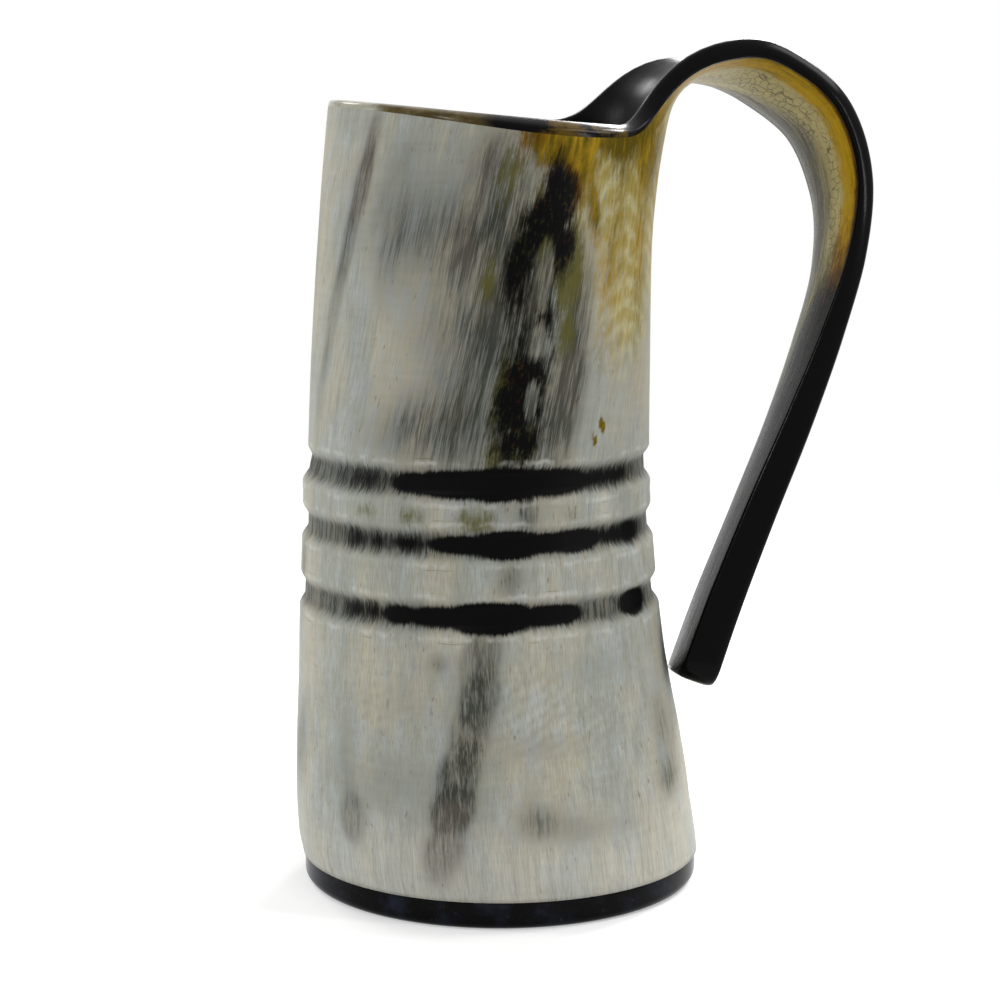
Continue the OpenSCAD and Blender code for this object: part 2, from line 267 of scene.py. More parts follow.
def outer_shares():
    """Rows of the outside, close together in the grooves and with a row on each groove's lines."""
    half = GROOVE_WIDTH / 2 / HORN_HEIGHT
    marks = [place + side * half for place in GROOVE_PLACE_SHARES
             for side in (-1, -GROOVE_FLAT_SHARE, GROOVE_FLAT_SHARE, 1)]
    marks = np.sort(np.concatenate([[0, LEVEL_SHARE, 1], marks]))
    rows = [0]
    for low, high in zip(marks[:-1], marks[1:]):
        near = groove_place((low + high) / 2) > 0
        step = OUTER_STEP * (0.5 if near else 1)
        count = max(1, int(np.ceil((high - low) * HORN_HEIGHT / step)))
        rows.extend(low + (high - low) * np.arange(1, count + 1) / count)
    return np.array(rows)


ROOT_TOP = float(rim_share(ROOT_ANGLE, 0))
ROOT_POINT = wall_point(ROOT_ANGLE, ROOT_TOP, 0)
STRAP_END_SHARE = (STRAP_END_HEIGHT - BASE_THICKNESS) / HORN_HEIGHT
STRAP_END_POINT = wall_point(STRAP_END_ANGLE, STRAP_END_SHARE, -END_GAP)
STRAP_PATH = (
    mix(ROOT_POINT, STRAP_END_POINT, STRAP_PATH_SHARES[:, :1])
    + STRAP_PATH_SHARES[:, [1, 3, 2]] * [FINGER_ROOM, FINGER_ROOM, STRAP_RISE]
)
STRAP_GAPS = np.linalg.norm(np.diff(STRAP_PATH, axis=0), axis=1)
STRAP_LENGTHS = np.concatenate([[0], np.cumsum(STRAP_GAPS)])
STRAP_LENGTH = float(STRAP_LENGTHS[-1])
# The path begins in line with the wall
GUIDED_PATH = np.concatenate([
    [ROOT_POINT - wall_slope(ROOT_ANGLE, ROOT_TOP, 0) * STRAP_GAPS[0]], STRAP_PATH])


def strap_index(along):
    return np.interp(along, STRAP_LENGTHS, np.arange(len(STRAP_LENGTHS)))


def path_point(along):
    return station(GUIDED_PATH, strap_index(along) + 1)


def strap_frame(along):
    """Place, forward, across and outward at a length along the strap."""
    index = strap_index(along)
    step = STRAP_LENGTH * SLOPE_SHARE
    forward = unit(path_point(along + step) - path_point(along - step))
    turn = np.radians(station(STRAP_TURN, index))
    lean = np.radians(station(STRAP_LEAN, index))
    aim = [-np.sin(turn) * np.cos(lean), np.cos(turn) * np.cos(lean), -np.sin(lean)]
    aim = np.stack(aim, axis=-1)
    across = unit(aim - forward * np.sum(aim * forward, axis=-1, keepdims=True))
    return path_point(along), forward, across, np.cross(across, forward)


def half_width_at(along):
    return mix(STRAP_WIDTH, STRAP_END_WIDTH, np.clip(along / STRAP_LENGTH, 0, 1)) / 2


def strap_outline():
    """Rows of the strap: length along it, half width and the outline's turn in degrees."""
    rows = []
    for turn in np.linspace(0, 90, FILLET_ROWS + 1)[1:]:
        along = ROOT_FILLET * (1 - cos(radians(turn)))
        rows.append([along, half_width_at(along) + ROOT_FILLET * (1 - sin(radians(turn))), turn])
    for along in np.linspace(ROOT_FILLET, STRAP_LENGTH - END_CORNER, STRAP_ROWS + 1)[1:]:
        rows.append([along, half_width_at(along), 90])
    for turn in np.linspace(0, 90, CORNER_ROWS + 1)[1:]:
        along = STRAP_LENGTH - END_CORNER * (1 - sin(radians(turn)))
        half = half_width_at(along) - END_CORNER * (1 - cos(radians(turn)))
        rows.append([along, half, 90 + turn])
    return np.array(rows)


def strap_grid(outline, depth_share):
    """Points of the strap's underside (depth share 0) or top (depth share 1)."""
    along = outline[:, 0]
    half = outline[:, 1, None]
    index = strap_index(along)
    spot, forward, across, outward = strap_frame(along)
    thickness = mix(WALL, STRAP_END_THICKNESS, station(STRAP_THICKNESS, index))
    depth = (depth_share * thickness)[:, None]
    bow_radius = (RIM_RADIUS / station(STRAP_BOW, index))[:, None]
    bow = ROOT_PLACES * half / bow_radius
    rise = (bow_radius - depth) * np.cos(bow) - bow_radius
    aside = (bow_radius - depth) * np.sin(bow)
    swept = (spot[:, None] + outward[:, None] * rise[..., None]
             + across[:, None] * aside[..., None])
    angle = ROOT_ANGLE + np.degrees(ROOT_PLACES * half / RIM_RADIUS)
    top = rim_share(angle, (1 - depth_share) * bevel_at(angle))
    raised = wall_point(angle, top, depth) + wall_slope(angle, top, depth) * along[:, None, None]
    freed = smooth(along / ROOT_FILLET)[:, None, None]
    return mix(raised, swept, freed)


def edge_sections(outer, inner, way):
    """Points across the rounded cut edge, between its outer and its inner line."""
    turn = np.pi * np.arange(1, EDGE_STEPS)[:, None] / EDGE_STEPS
    middle, half = (outer + inner)[:, None] / 2, (outer - inner)[:, None] / 2
    return (middle + half * signed_power(np.cos(turn), EDGE_POWER)
            + way[:, None] * EDGE_ROUND * signed_power(np.sin(turn), EDGE_POWER))


# Zones of the horn, in the order of its materials
SKIN, INSIDE, CUT = range(3)


class HornGrid:
    """The horn's points with, for each, where it lies on the horn:
    angle round the cup (degrees), height along the horn (m), depth share (0 outside, 1 inside),
    strap station (below 0 on the cup) and place across the strap (-1 near edge, 1 far edge)."""

    def __init__(self):
        self.points, self.facts = [], []

    def add(self, points, *facts):
        """Numbers of the added points, in the grid that they come in."""
        shape = points.shape[:-1]
        facts = np.stack([np.broadcast_to(fact, shape).ravel() for fact in facts], axis=-1)
        first = sum(map(len, self.points))
        self.points.append(points.reshape(-1, 3))
        self.facts.append(facts)
        return first + np.arange(len(facts)).reshape(shape)


def quads(ids, flip=False):
    a, b, c, d = ids[:-1, :-1], ids[:-1, 1:], ids[1:, 1:], ids[1:, :-1]
    order = (a, d, c, b) if flip else (a, b, c, d)
    return np.stack([v.ravel() for v in order], axis=-1)


def ring(ids):
    return np.concatenate([ids, ids[:, :1]], axis=1)


def add_cup(grid):
    """Point numbers of the cup's outside and inside, in rows from the foot to the rim."""
    angle = column_angles()
    signed = (angle + 180) % 360 - 180
    place = np.clip((signed - ROOT_ANGLE) / ROOT_HALF_ANGLE, -1, 1)

    rows = outer_shares()[:, None]
    share = row_share(rows, rim_share(angle, bevel_at(angle)))
    cut = groove_cut(angle, rows) + scraping(angle, rows)
    outer = grid.add(wall_point(angle, share, cut), signed, HORN_HEIGHT * share, 0, -1, place)

    rows = np.linspace(0, 1, INNER_ROWS)[:, None]
    share = row_share(rows, rim_share(angle, 0))
    inner = grid.add(wall_point(angle, share, WALL), signed, HORN_HEIGHT * share, 1, -1, place)
    return outer, inner


def add_strap(grid, outline):
    """Point numbers of the strap's underside and top, in rows from the rim to the end."""
    along = outline[:, :1]
    spread = ROOT_ANGLE + np.degrees(ROOT_PLACES * outline[:, 1:2] / RIM_RADIUS)
    where = (strap_index(along), ROOT_PLACES)
    return [grid.add(strap_grid(outline, depth), spread, HORN_HEIGHT * ROOT_TOP + along, depth,
                     *where) for depth in (0, 1)]


def edge_ways(outline, rim_angles):
    """Which way the cut edge faces: at the rim, the strap's near side, its end and its far side."""
    rim_way = unit(wall_slope(rim_angles, rim_share(rim_angles, 0), WALL))
    _, forward, across, _ = strap_frame(outline[:, 0])
    turn = np.radians(outline[:, 2:3])
    ahead, aside = forward * np.abs(np.cos(turn)), across * np.sin(turn)
    end_way = np.repeat(forward[-1:], ROOT_COLUMNS - 1, axis=0)
    return np.concatenate([rim_way, unit(ahead - aside), end_way, unit(ahead + aside)[::-1]])


def add_cut_edge(grid, outline, outer, inner, under, top):
    """Point numbers of the rounded cut edge: one closed line along the rim, the strap's near
    side, its end and its far side."""
    rim_columns = np.arange(ROOT_COLUMNS, CUP_COLUMNS + 1) % CUP_COLUMNS
    outer_line, inner_line = (
        np.concatenate([cup[-1, rim_columns], strap[1:, 0], strap[-1, 1:-1], strap[:0:-1, -1]])
        for cup, strap in ((outer, under), (inner, top)))
    way = edge_ways(outline, column_angles()[rim_columns])
    points = np.concatenate(grid.points)
    facts = np.concatenate(grid.facts)
    sections = edge_sections(points[outer_line], points[inner_line], way)
    step = np.arange(1, EDGE_STEPS)[None, :, None] / EDGE_STEPS
    blend = mix(facts[outer_line][:, None], facts[inner_line][:, None], step)
    blend[..., 0] = facts[outer_line][:, None, 0]
    edge = grid.add(sections, *np.moveaxis(blend, -1, 0))
    edge = np.concatenate([outer_line[:, None], edge, inner_line[:, None]], axis=1)
    return np.concatenate([edge, edge[:1]])


def horn_shape():
    """Points, facts and faces of the horn, each face with its zone: skin, inside or cut."""
    grid = HornGrid()
    outline = strap_outline()
    outer, inner = add_cup(grid)
    under, top = add_strap(grid, outline)
    under = np.concatenate([outer[-1:, :ROOT_COLUMNS + 1], under])
    top = np.concatenate([inner[-1:, :ROOT_COLUMNS + 1], top])
    edge = add_cut_edge(grid, outline, outer, inner, under, top)
    foot = np.stack([outer[0], inner[0]])
    faces = [
        (quads(ring(outer)), SKIN), (quads(ring(inner), flip=True), INSIDE),
        (quads(ring(foot), flip=True), CUT),
        (quads(under), SKIN), (quads(top, flip=True), INSIDE), (quads(edge.T), CUT),
    ]
    zones = np.concatenate([np.full(len(f), zone) for f, zone in faces])
    faces = np.concatenate([f for f, _ in faces])
    return np.concatenate(grid.points), np.concatenate(grid.facts), faces, zones


def drawn_in(points, node):
    """The points, drawn in towards the foot where they swell a fraction of a millimetre past the
    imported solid's box."""
    foot = np.array([0, 0, BASE_THICKNESS])
    reach = points - foot
    scale = np.minimum(1, (np.array(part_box(node)[1]) - foot) / reach.max(axis=0))
    return foot + np.where(reach > 0, reach * scale, reach)


def new_mesh_object(name, points, faces, materials, zones=None):
    mesh = bpy.data.meshes.new(name)
    mesh.from_pydata(points.tolist(), [], faces)
    for material in materials:
        mesh.materials.append(material)
    mesh.polygons.foreach_set("use_smooth", np.ones(len(faces), dtype=bool))
    if zones is not None:
        mesh.polygons.foreach_set("material_index", zones.astype(np.int32))
    mesh.validate()
    mesh.update()
    piece = bpy.data.objects.new(name, mesh)
    bpy.context.collection.objects.link(piece)
    return piece


def put_attribute(piece, name, values):
    values = np.asarray(values, np.float32)
    kind, key = ("FLOAT_VECTOR", "vector") if values.ndim == 2 else ("FLOAT", "value")
    piece.data.attributes.new(name, kind, "POINT").data.foreach_set(key, values.ravel())


# Marks in the horn. Each is an ellipse on the wall: angle (degrees), height above the table,
# half width and half height (mm), how far it leans to the right for each millimetre up, and
# strength. Those from -165 to -25 degrees are placed after the photo, and the others guessed.

BLACK_MARKS = [
    (-75, 140.5, 2.4, 6.5, 0.05, 1.1), (-74.3, 137.5, 4, 6, 0.1, 1.2),
    (-77.3, 133.5, 5.8, 6, 0.1, 1.5), (-86, 126, 2.8, 8, 0.25, 1.2),
    (-71.5, 129.5, 3.2, 6.5, 0.05, 1), (-85.5, 119.5, 2.2, 5.5, 0.15, 0.6),
    (-77.3, 115.6, 2.2, 5.2, 0.05, 0.8), (-82.5, 109.5, 3.4, 6.5, 0.15, 0.8),
    (-83.2, 105.5, 4.6, 6.5, 0.15, 1.2), (-85.5, 99.5, 5.4, 7, 0.2, 1.3),
    (-83.5, 84.5, 3, 4, 0.1, 0.5), (-87.5, 92.5, 4.4, 5.5, 0.2, 0.7), (-82.5, 92, 3, 5, 0.2, 0.7),
    (62, 123, 5, 16, -0.15, 1.3), (74, 97, 6, 11, -0.15, 1.1), (57, 141, 2.6, 7, -0.1, 1),
    (160, 109, 3, 9, 0.1, 0.6),
]
CLEAR_MARKS = [
    (-77.8, 124, 1.8, 6.5, 0.05, 1.6), (-79.5, 111.5, 2, 3, 0.1, 0.9),
    (-81.2, 100, 1.2, 3.4, 0.1, 1.3), (66, 115, 1.6, 4, -0.1, 1.2),
]
BROWN_MARKS = [
    (-76, 136, 7.5, 11, 0.1, 1.1), (-68.5, 126, 3.8, 12, 0.08, 1.5), (-90, 102, 3, 10, 0.25, 0.9),
    (-69.5, 113, 2.6, 7, 0.08, 0.9), (-96, 123, 2.6, 6, 0.15, 0.8), (-90, 143, 3.5, 8, 0.17, 0.7),
    (-92, 90, 4.5, 6.5, 0.2, 1), (-83, 91, 3.6, 5.5, 0.2, 0.8), (66, 123, 8, 20, -0.15, 0.7),
    (78, 89, 6, 9, -0.1, 0.9), (-84, 149.5, 5, 4, 0, 0.6), (-98, 78, 5, 3.6, 0, 0.9),
    (-119, 78.5, 4.5, 2.8, 0, 0.7), (-134, 79, 4, 2.4, 0, 0.5), (-67, 78.5, 4, 2.4, 0, 0.4),
]
# Soft grey clouds, whose strengths are densities from 0 to 1
SMOKE_MARKS = [
    (-131, 137, 6, 7, 0.17, 0.28), (-124, 131, 7, 7, 0.17, 0.25), (-133, 124, 4, 8, 0.2, 0.25),
    (-127, 146, 3, 4, 0.17, 0.25), (-148, 137, 4, 14, 0.2, 0.25), (-112, 133, 13, 14, 0.17, 0.36),
    (-98.5, 130, 6, 9, 0.17, 0.62), (-104, 129, 7, 6, 0.17, 0.35), (-97, 145, 3.6, 8, 0.17, 0.65),
    (-88, 141, 5, 9, 0.17, 0.35), (-94, 117, 8, 12, 0.17, 0.5), (-118, 95, 12, 8, 0.17, 0.55),
    (-102, 97, 8, 13, 0.2, 0.5), (-110, 113, 12, 9, 0.17, 0.3), (-83, 117, 6.5, 12, 0.15, 0.85),
    (-84, 97, 7.5, 12, 0.2, 0.7), (-64.5, 118, 3.4, 12, 0.12, 0.6),
    (-67.5, 103, 3.4, 14, 0.12, 0.75), (-77, 133, 7, 10, 0.1, 0.7), (-71, 95, 4, 14, 0.12, 0.5),
    (-92, 111, 4, 10, 0.15, 0.5), (-110.5, 51, 2.8, 2.4, 0, 0.4),
    (-113.5, 9.5, 4.4, 3, 0.1, 0.25), (-143.5, 32, 3.5, 9, 0.1, 0.25),
    (-104, 28, 8, 14, 0.27, 0.2), (-85.5, 21, 4.2, 3.4, 0, 0.28), (-80, 21.5, 6, 3, 0, 0.22),
    (-86, 25, 3, 6, 0, 0.2), (-72, 18.5, 14, 3.4, 0, 0.3), (-82, 35, 10, 3, 0.1, 0.25),
    (-33, 36, 5, 9, 0.1, 0.45), (-34, 24, 5, 4, 0, 0.6), (-25, 28, 6, 8, 0, 0.3),
    (-88, 67, 3.4, 5, 0.1, 0.5), (-94, 78, 3, 4, 0.1, 0.25), (-82, 78, 3, 4, 0.1, 0.55),
    (-128, 27, 10, 8, 0.1, 0.26), (-120, 43, 12, 6, 0.1, 0.2), (-60, 49, 12, 4, 0, 0.2),
    (25, 65, 4, 22, -0.15, 0.6), (40, 23, 5, 11, -0.2, 0.7), (95, 125, 9, 20, -0.15, 0.65),
    (72, 105, 9, 24, -0.15, 0.6), (110, 39, 5, 16, -0.2, 0.75), (128, 101, 12, 12, -0.1, 0.5),
    (142, 135, 3, 16, -0.2, 0.6), (165, 49, 4, 13, 0.15, 0.6), (150, 17, 8, 7, 0, 0.5),
    (178, 125, 6, 14, 0.1, 0.4), (75, 19, 9, 5, 0, 0.4), (-175, 65, 3, 9, 0.1, 0.5),
    (60, 50, 9, 9, 0, 0.3), (5, 35, 6, 9, 0, 0.35), (-172, 30, 5, 10, 0.1, 0.45),
]
# Streaks with clear sides, with strengths like the clouds'
STREAK_MARKS = [
    (-140.5, 149, 2, 6, 0.2, 0.4), (-144, 140, 2.2, 8, 0.2, 0.6),
    (-149.5, 128, 2.2, 9, 0.22, 0.5), (-157, 114, 2.4, 12, 0.2, 0.35),
    (-164, 100, 2.4, 10, 0.2, 0.25), (-97.3, 52.5, 4.4, 7, 0.27, 0.55),
    (-98.8, 44.5, 4.2, 6, 0.27, 0.62), (-102, 38, 4.2, 6, 0.27, 0.5),
    (-105.8, 30.5, 4.5, 6, 0.27, 0.62), (-108.2, 23.5, 4.6, 5, 0.27, 0.8),
    (-111.5, 15.5, 4.4, 6, 0.27, 0.52), (-100.5, 130, 1.8, 5, 0.8, 0.5),
    (-92.5, 136.5, 1.6, 4, 0.6, 0.35), (-140.5, 19, 3.8, 5.5, 0, 0.5), (-141, 25, 2, 4, 0, 0.2),
]
# Where the grey turns to a warm brown, and where growth ripples show
WARM_MARKS = [
    (-142, 144, 4, 14, 0.2, 1), (-118, 136, 12, 9, 0.17, 0.45), (-106, 127, 4, 4, 0.17, 0.7),
    (-97, 145, 4, 6, 0.17, 0.8), (-67.5, 100, 4, 10, 0.12, 0.5), (-111.5, 15.5, 6, 6, 0.2, 1),
    (-108, 23, 6, 4, 0.2, 0.7), (-140.5, 17, 6, 6, 0, 1), (110, 39, 8, 12, -0.2, 0.8),
    (95, 125, 9, 12, -0.15, 0.8), (150, 17, 8, 7, 0, 0.8),
]
RIPPLE_MARKS = [
    (-84, 42, 9, 8, 0, 1), (-66, 38, 8, 5, 0, 0.8), (-130, 40, 9, 8, 0, 0.5),
    (30, 30, 20, 12, 0, 0.8), (130, 60, 14, 10, 0, 0.8),
]
AMBER_MARKS = [
    (-72, 149, 9, 7, 0, 1.5), (-48, 151, 16, 7, 0, 1.3), (-66, 144, 5, 7, 0.1, 0.6),
    (-54.1, 94.8, 0.7, 1.7, -0.35, 1.7), (-57.3, 92, 0.5, 1.3, -0.35, 1.2),
    (-30, 145, 7, 9, 0, 0.45), (-60, 135.5, 1.6, 7, -0.15, 0.5), (-40, 148, 8, 8, 0.1, 0.4),
    (-50, 127, 1.6, 8, 0.1, 0.12), (-33, 130, 2, 10, 0, 0.15), (58, 149, 16, 6, 0, 0.8),
    (30, 147, 12, 8, 0, 0.5),
]
YELLOW_MARKS = [
    (-40, 136, 15.5, 18, 0.04, 1.1), (-57, 143, 6, 8, 0, 0.9), (-40, 119, 12, 16, 0.04, 0.8),
    (-66, 135, 5, 9, 0.05, 0.5), (-66, 124, 4, 8, 0.05, 0.35), (40, 133, 18, 22, 0, 0.9),
    (-5, 133, 24, 24, 0, 0.9),
]
# Black lenses in each groove, the lowest groove first: angle (degrees), half width and half
# height (mm), strength
GROOVE_LENSES = [
    [(-140, 4, 2, 0.4), (-133, 3, 2, 0.35), (-123, 5, 2.2, 0.9), (-110, 9, 2.3, 1.1),
     (-94, 11, 3.4, 1.6), (-76, 9, 2.2, 1.2), (-70, 5, 2.1, 1.1), (-39, 6, 3, 1.3),
     (20, 16, 3.2, 1), (70, 13, 3.4, 1.2), (112, 11, 2.8, 0.9), (160, 14, 3.4, 1)],
    [(-140, 4, 2.4, 0.4), (-131, 3, 2.2, 0.4), (-121, 6, 1.8, 0.4), (-102, 9, 2, 1.1),
     (-88, 9, 3, 1.5), (-75, 9, 2.2, 1.2), (-64, 8, 2.5, 1.2), (-48, 8, 2, 0.5),
     (-37, 7, 2.8, 0.7), (14, 12, 2.8, 0.8), (60, 16, 3.5, 1.2), (100, 14, 3, 1),
     (150, 12, 2.8, 0.8)],
    [(-138, 8, 2.4, 0.3), (-118, 7, 2.3, 1), (-104, 12, 2.9, 1.4), (-90, 12, 3.5, 1.6),
     (-74, 12, 3, 1.2), (-60, 10, 2.2, 0.5), (-46, 10, 2.2, 0.42), (6, 14, 3, 0.9),
     (44, 12, 2.8, 0.9), (82, 20, 3.7, 1.3), (128, 12, 2.8, 0.6), (170, 10, 2.6, 0.7)],
]

# How sharply a cloud and a streak end
CLOUD_FIRMNESS = 2
STREAK_FIRMNESS = 5


def radius_at(height):
    return wall_radius(np.clip(height / HORN_HEIGHT, 0, 1))


def mark_distances(marks, angle, height):
    """How far points are from each mark, 0 in its middle and 1 at its line, and its strength."""
    centre, level, wide, tall, lean, strength = np.array(marks, float).T[..., None]
    up = (BASE_THICKNESS + height) / MM - level
    turn = (angle - centre + 540) % 360 - 180
    aside = np.radians(turn) * (radius_at(height) / MM) - lean * up
    return np.sqrt((aside / wide) ** 2 + (up / tall) ** 2), strength


def mark_field(marks, angle, height):
    """The strongest mark's strength in its middle, 0 at its line and less outside."""
    away, strength = mark_distances(marks, angle, height)
    return np.maximum(-1, np.max(strength * (1 - away), axis=0))


def cloud_field(marks, angle, height, firmness=CLOUD_FIRMNESS):
    """Density from 0 to 1 of clouds that pass into each other."""
    away, strength = mark_distances(marks, angle, height)
    return 1 - np.prod(1 - strength * np.exp(-away ** firmness), axis=0)


def groove_lenses(angle, height):
    marks = []
    for place, lenses in zip(GROOVE_PLACE_SHARES, GROOVE_LENSES):
        level = (BASE_THICKNESS + HORN_HEIGHT * place) / MM
        marks += [(turn, level, wide, tall, 0, strength) for turn, wide, tall, strength in lenses]
    return mark_field(marks, angle, height)


# The fibres lean to the right: by one slope all the way up, and by another above the grooves
LOW_LEAN = 0.03
HIGH_LEAN = 0.12
HIGH_LEAN_LEVEL = 0.07
HIGH_LEAN_START = 0.06
HIGH_LEAN_RUN = 0.05


def fibre_lean(height):
    """How far the fibres at a height have moved to the right."""
    begun = smooth((height - HIGH_LEAN_START) / HIGH_LEAN_RUN)
    return HIGH_LEAN * begun * (height - HIGH_LEAN_LEVEL) + LOW_LEAN * height


def fibre_place(facts):
    """Where a point lies among the fibres. Heights run on along the strap, so that a fibre has
    one X and Y, and the inside lies two walls in, so that its pattern is another."""
    angle, height, depth, strap, _ = facts.T
    leaning = np.where(strap >= 0, HORN_HEIGHT * ROOT_TOP, height)
    turn = np.radians(angle) - fibre_lean(leaning) / RIM_RADIUS
    radius = radius_at(height) - 2 * depth * WALL
    return np.stack([radius * np.cos(turn), radius * np.sin(turn), height], axis=-1)


# Colours of the strap's underside. Lengths are in stations of the strap, and places run from
# -1 at its near edge to 1 at its far edge.
BLACK_START = 7.2
BLACK_DELAY = 2.6
BROWN_LEAD = 0.9
EDGE_BLACK_PLACE = -0.98
EDGE_BROWN_PLACE = -0.9
EDGE_BROWN_START = 3
AMBER_PLACE = -0.9
AMBER_HALF_WIDTH = 0.2
AMBER_GROWTH = 0.1
STRAP_SMOKE = 0.92
STRAP_YELLOW = 0.7
# Growth lines: where they crest (degrees), how steeply they fall and how far apart they are (mm)
CREST_ANGLE = -44
CREST_SLOPE = 0.6
GROWTH_STEP = 4.8


def strap_fields(strap, place, rim_amber):
    """The strap's fields, which begin at the rim with what the cup has there."""
    start = BLACK_START + BLACK_DELAY * smooth((place + 0.6) / 1.5)
    later = smooth((strap - EDGE_BROWN_START) / 2)
    black = np.clip((strap - start) / 0.8, -1, 1)
    black = np.maximum(black, np.clip((EDGE_BLACK_PLACE - place) / 0.08, -1, 1))
    brown = np.clip((strap - start + BROWN_LEAD) / 1.2, -1, 1)
    edge_brown = np.clip((EDGE_BROWN_PLACE - place) / 0.1, -1, 1)
    brown = np.maximum(brown, mix(-1, edge_brown, later))
    side = place + 0.05 + 0.7 * smooth((strap - 3) / 3)
    amber = 1.3 * (1 - np.abs(place - AMBER_PLACE) / (AMBER_HALF_WIDTH + AMBER_GROWTH * later))
    amber = np.maximum(mix(rim_amber, -1, smooth(strap / 1.5)), np.clip(amber, -1, 1))
    return {"black": black, "brown": brown, "amber": amber,
            "smoke": STRAP_SMOKE * smooth(side) * smooth(strap / 3)}


def cup_fields(angle, height):
    smoke = cloud_field(SMOKE_MARKS, angle, height)
    streaks = cloud_field(STREAK_MARKS, angle, height, STREAK_FIRMNESS)
    return {
        "black": np.minimum(mark_field(BLACK_MARKS, angle, height),
                            -mark_field(CLEAR_MARKS, angle, height)),
        "brown": mark_field(BROWN_MARKS, angle, height),
        "amber": mark_field(AMBER_MARKS, angle, height),
        "smoke": 1 - (1 - smoke) * (1 - streaks),
    }


def paint_horn(piece, facts):
    """Fields by which the horn's materials mix their colours."""
    angle, height, depth, strap, place = facts.T
    on_strap = strap >= 0
    outside_cup = ~on_strap & (depth == 0)
    fields = cup_fields(angle, height)
    for name, values in strap_fields(strap, place, fields["amber"]).items():
        fields[name] = np.where(on_strap, values, fields[name])
    yellow = mark_field(YELLOW_MARKS, angle, height)
    crest = np.abs(np.radians(angle - CREST_ANGLE)) * RIM_RADIUS / MM
    fields |= {
        "yellow": np.where(on_strap, np.maximum(yellow, STRAP_YELLOW), yellow),
        "warm": cloud_field(WARM_MARKS, angle, height),
        "ripple": cloud_field(RIPPLE_MARKS, angle, height),
        "groove": np.where(outside_cup, groove_place(height / HORN_HEIGHT), -1),
        "lens": np.where(outside_cup, groove_lenses(angle, height), -1),
        "chevron": (height / MM + CREST_SLOPE * crest) / GROWTH_STEP,
        "strap": np.maximum(strap + 1, 0) / len(STRAP_PATH_SHARES),
        "facing": np.cos(np.radians(angle)),
        "grain": fibre_place(facts),
    }
    for name, values in fields.items():
        put_attribute(piece, name, values)


class Graph:
    """The nodes of a material or a world, with short calls for the kinds used here."""

    def __init__(self, owner):
        self.owner = owner
        owner.use_nodes = True
        self.tree = owner.node_tree
        self.tree.nodes.clear()

    def node(self, kind, values=(), **settings):
        """A node, its kind without the word ShaderNode, with values or links on its sockets."""
        node = self.tree.nodes.new("ShaderNode" + kind)
        for key, value in settings.items():
            setattr(node, key, value)
        for key, value in dict(values).items():
            self.put(node.inputs[key], value)
        return node

    def put(self, socket, value):
        if isinstance(value, bpy.types.NodeSocket):
            self.tree.links.new(value, socket)
        elif socket.type == "RGBA" and len(value) == 3:
            socket.default_value = (*value, 1)
        else:
            socket.default_value = value

    def field(self, name, output="Fac"):
        return self.node("Attribute", attribute_name=name).outputs[output]

    def math(self, operation, *values):
        return self.node("Math", dict(enumerate(values)), operation=operation).outputs[0]

    def add(self, *values):
        total = values[0]
        for value in values[1:]:
            total = self.math("ADD", total, value)
        return total

    def times(self, a, b):
        return self.math("MULTIPLY", a, b)

    def centred(self, noise, amount):
        """A noise of mean 0.5 as a swing of plus or minus half the amount."""
        return self.times(self.math("SUBTRACT", noise, 0.5), amount)

    def ramp(self, value, low, high, out_low=0, out_high=1):
        inputs = {"Value": value, "From Min": low, "From Max": high, "To Min": out_low,
                  "To Max": out_high}
        return self.node("MapRange", inputs, interpolation_type="SMOOTHSTEP").outputs[0]

    def mix(self, factor, a, b, kind="MIX"):
        """A colour between a and b."""
        node = self.node("Mix", data_type="RGBA", blend_type=kind)
        for socket, value in zip((node.inputs[0], node.inputs[6], node.inputs[7]), (factor, a, b)):
            self.put(socket, value)
        return node.outputs[2]

    def between(self, factor, a, b):
        """A number between a and b."""
        return self.node("Mix", {0: factor, 2: a, 3: b}).outputs[0]

    def scaled(self, vector, scale):
        return self.node("Mapping", {"Vector": vector, "Scale": scale}).outputs[0]

    def noise(self, vector, size, detail, rough):
        """Noise whose features are about one size across, in metres."""
        inputs = {"Vector": vector, "Scale": 1 / size, "Detail": detail, "Roughness": rough}
        return self.node("TexNoise", inputs).outputs["Fac"]

    def cell_edges(self, vector, size):
        inputs = {"Vector": vector, "Scale": 1 / size}
        cells = self.node("TexVoronoi", inputs, feature="DISTANCE_TO_EDGE")
        return cells.outputs["Distance"]

    def bump(self, height, distance, strength):
        inputs = {"Height": height, "Distance": distance, "Strength": strength}
        return self.node("Bump", inputs).outputs[0]

    def surface(self, color, roughness, normal, specular):
        inputs = {"Base Color": color, "Roughness": roughness, "Normal": normal,
                  "Specular IOR Level": specular}
        shader = self.node("BsdfPrincipled", inputs)
        self.node("OutputMaterial", {"Surface": shader.outputs[0]})
        return self.owner


def new_material(name):
    return Graph(bpy.data.materials.new(name))


# Colours of the horn's skin
PALE_GREY = (0.298, 0.308, 0.27)
PALE_CREAM = (0.38, 0.36, 0.285)
PALE_BLUE = (0.36, 0.39, 0.39)
SMOKE = (0.02, 0.022, 0.016)
MAUVE = (0.06, 0.049, 0.04)
BLACK = (0.0008, 0.0008, 0.0008)
RED_BROWN = (0.03, 0.01, 0.004)
MOSS = (0.022, 0.024, 0.006)
OLIVE = (0.085, 0.08, 0.014)
BURNT = (0.085, 0.028, 0.002)
AMBER = (0.38, 0.235, 0.01)
DEEP_AMBER = (0.085, 0.06, 0.002)
STRAW = (0.34, 0.262, 0.05)
IVORY = (0.48, 0.43, 0.23)
RUST = (0.2, 0.11, 0.04)
# Pale wash: painted floor-bounce light near the foot, and pale lines along the grooves' lips
PALE_WASH = (0.52, 0.52, 0.48)
CRACK = (0.05, 0.042, 0.02)
